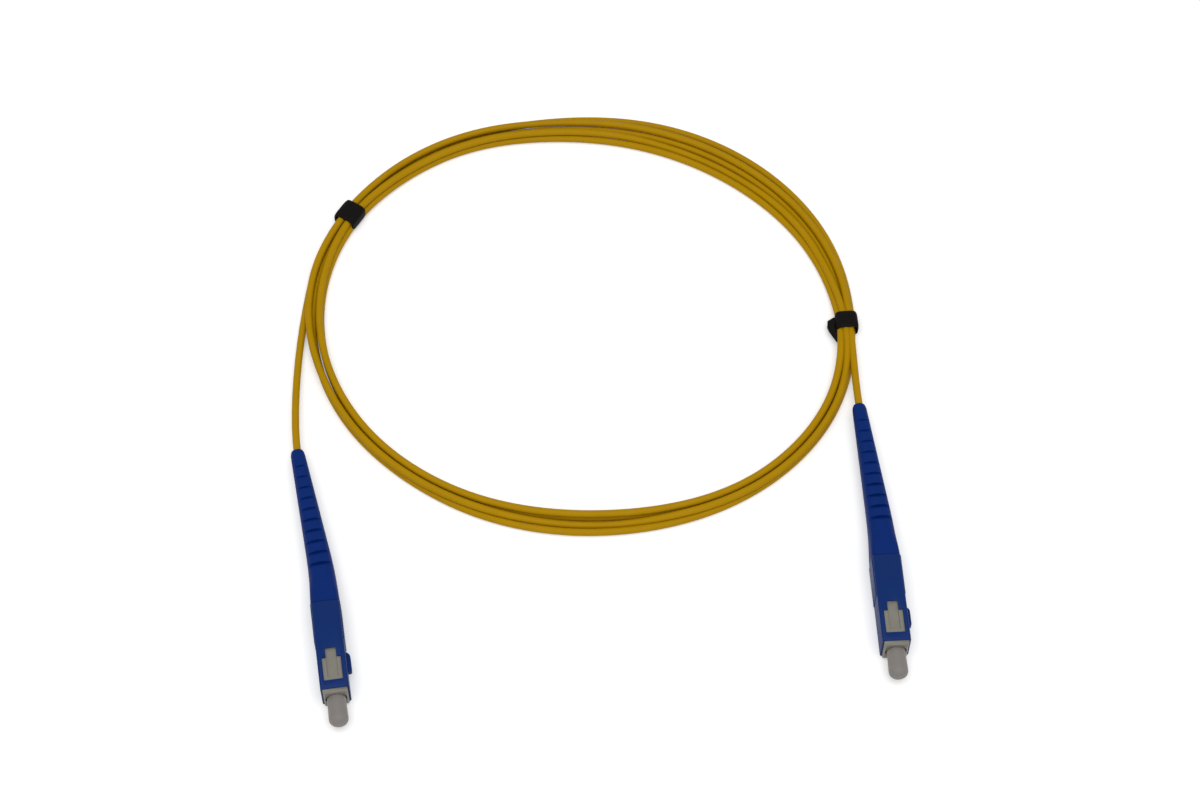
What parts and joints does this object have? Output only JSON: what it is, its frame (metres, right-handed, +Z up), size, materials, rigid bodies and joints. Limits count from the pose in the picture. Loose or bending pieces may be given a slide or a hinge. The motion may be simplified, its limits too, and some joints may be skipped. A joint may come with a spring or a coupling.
{
  "type": "fibre optic patch cable",
  "caption": "Coiled yellow fibre optic patch cable with a blue square push-pull plug, slotted tapered boot and milky dust cap on each end, held by black ties.",
  "frame": {"origin": "on the table, midway between the outer reaches of the plugs", "axes": "+X to the right and +Y away in the picture's view, from the plugs to the coil; +Z up"},
  "size_m": [0.1648, 0.1967, 0.009],
  "materials": {
    "jacket": "satin yellow jacket",
    "grip_plastic": "moulded blue",
    "boot_rubber": "satin blue",
    "frame_plastic": "off-white",
    "cap_plastic": "milky",
    "zirconia": "polished white",
    "plated_brass": "nickel plated",
    "spring_steel": "bright",
    "aramid": "yellow yarn",
    "buffer": "white",
    "tie_plastic": "black"
  },
  "bodies": {
    "cable_and_frames": {"cable_coil": "jacket", "left_cable_tail": "jacket", "left_tie": "tie_plastic", "left_boot": "boot_rubber", "left_crimp_sleeve": "plated_brass", "left_aramid_yarn": "aramid", "left_stop_ring": "plated_brass", "left_plug_frame": "frame_plastic", "left_spring": "spring_steel", "right_cable_tail": "jacket", "right_tie": "tie_plastic", "right_boot": "boot_rubber", "right_crimp_sleeve": "plated_brass", "right_aramid_yarn": "aramid", "right_stop_ring": "plated_brass", "right_plug_frame": "frame_plastic", "right_spring": "spring_steel"},
    "left_grip": {"left_grip_housing": "grip_plastic"},
    "left_ferrule_unit": {"left_ferrule": "zirconia", "left_ferrule_flange": "plated_brass", "left_buffered_fibre": "buffer"},
    "left_cap": {"left_dust_cap": "cap_plastic"},
    "right_grip": {"right_grip_housing": "grip_plastic"},
    "right_ferrule_unit": {"right_ferrule": "zirconia", "right_ferrule_flange": "plated_brass", "right_buffered_fibre": "buffer"},
    "right_cap": {"right_dust_cap": "cap_plastic"}
  },
  "joints": [
    {"name": "left_grip_slide", "type": "slide", "parent": "cable_and_frames", "child": "left_grip", "axis": [0.153, -0.9882, 0], "range_m": [0, 0.0012]},
    {"name": "left_ferrule_slide", "type": "slide", "parent": "cable_and_frames", "child": "left_ferrule_unit", "axis": [0.153, -0.9882, 0], "range_m": [-0.0012, 0], "stiffness_N_per_m": 200, "deforming": ["left_spring"]},
    {"name": "left_cap_pull", "type": "slide", "parent": "left_ferrule_unit", "child": "left_cap", "axis": [0.153, -0.9882, 0], "range_m": [0, 0.02]},
    {"name": "right_grip_slide", "type": "slide", "parent": "cable_and_frames", "child": "right_grip", "axis": [0.0558, -0.9984, 0], "range_m": [0, 0.0012]},
    {"name": "right_ferrule_slide", "type": "slide", "parent": "cable_and_frames", "child": "right_ferrule_unit", "axis": [0.0558, -0.9984, 0], "range_m": [-0.0012, 0], "stiffness_N_per_m": 200, "deforming": ["right_spring"]},
    {"name": "right_cap_pull", "type": "slide", "parent": "right_ferrule_unit", "child": "right_cap", "axis": [0.0558, -0.9984, 0], "range_m": [0, 0.02]}
  ]
}
